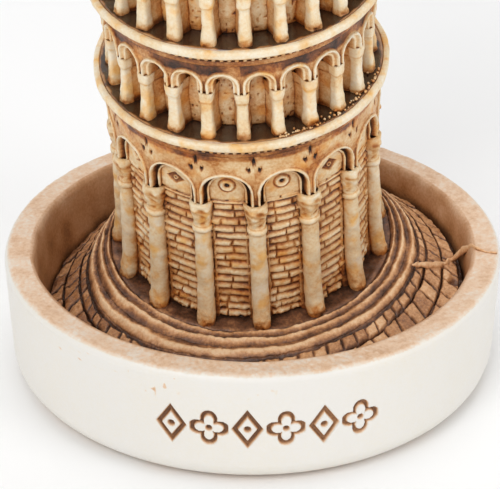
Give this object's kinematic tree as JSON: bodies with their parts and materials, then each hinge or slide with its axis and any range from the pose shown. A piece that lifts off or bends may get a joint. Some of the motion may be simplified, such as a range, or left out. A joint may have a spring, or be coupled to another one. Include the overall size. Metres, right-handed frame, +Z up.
{
  "type": "miniature landmark model",
  "caption": "Antiqued cream resin model of a leaning round arcaded bell tower, standing in a deep round dish with a terraced floor.",
  "frame": {"origin": "middle of the dish's underside, on the surface that it stands on", "axes": "+Z up; -Y towards the front of the dish, which is also the way that the tower mainly leans; +X to the right seen from the front"},
  "size_m": [0.07, 0.0712, 0.1543],
  "materials": {
    "tower_resin": "cast resin, cream, orange-brown stain in the crevices",
    "dish_resin": "smooth cast resin, cream, with a sandy tan rim",
    "floor_resin": "brown-stained cast resin with tan high points",
    "deck_resin": "dark brown glossy stain",
    "felt": "thin felt"
  },
  "bodies": {
    "root": {"felt_pad": "felt", "base_dish": "dish_resin", "tower_plinth": "floor_resin", "ridge_ring_inner": "floor_resin", "ridge_ring_middle": "floor_resin", "ridge_ring_outer": "floor_resin", "paving_course_inner": "floor_resin", "paving_course_middle": "floor_resin", "paving_course_outer": "floor_resin", "ground_core": "tower_resin", "ground_columns": "tower_resin", "ground_arcade": "tower_resin", "ground_cornice": "tower_resin", "ground_deck": "deck_resin", "loggia_1_core": "tower_resin", "loggia_1_columns": "tower_resin", "loggia_1_arcade": "tower_resin", "loggia_1_cornice": "tower_resin", "loggia_1_deck": "deck_resin", "loggia_2_core": "tower_resin", "loggia_2_columns": "tower_resin", "loggia_2_arcade": "tower_resin", "loggia_2_cornice": "tower_resin", "loggia_2_deck": "deck_resin", "loggia_3_core": "tower_resin", "loggia_3_columns": "tower_resin", "loggia_3_arcade": "tower_resin", "loggia_3_cornice": "tower_resin", "loggia_3_deck": "deck_resin", "loggia_4_core": "tower_resin", "loggia_4_columns": "tower_resin", "loggia_4_arcade": "tower_resin", "loggia_4_cornice": "tower_resin", "loggia_4_deck": "deck_resin", "loggia_5_core": "tower_resin", "loggia_5_columns": "tower_resin", "loggia_5_arcade": "tower_resin", "loggia_5_cornice": "tower_resin", "loggia_5_deck": "deck_resin", "loggia_6_core": "tower_resin", "loggia_6_columns": "tower_resin", "loggia_6_arcade": "tower_resin", "loggia_6_cornice": "tower_resin", "loggia_6_deck": "deck_resin", "belfry_core": "tower_resin", "belfry_columns": "tower_resin", "belfry_arcade": "tower_resin", "belfry_cornice": "tower_resin", "belfry_parapet": "tower_resin", "belfry_deck": "deck_resin"}
  },
  "joints": []
}
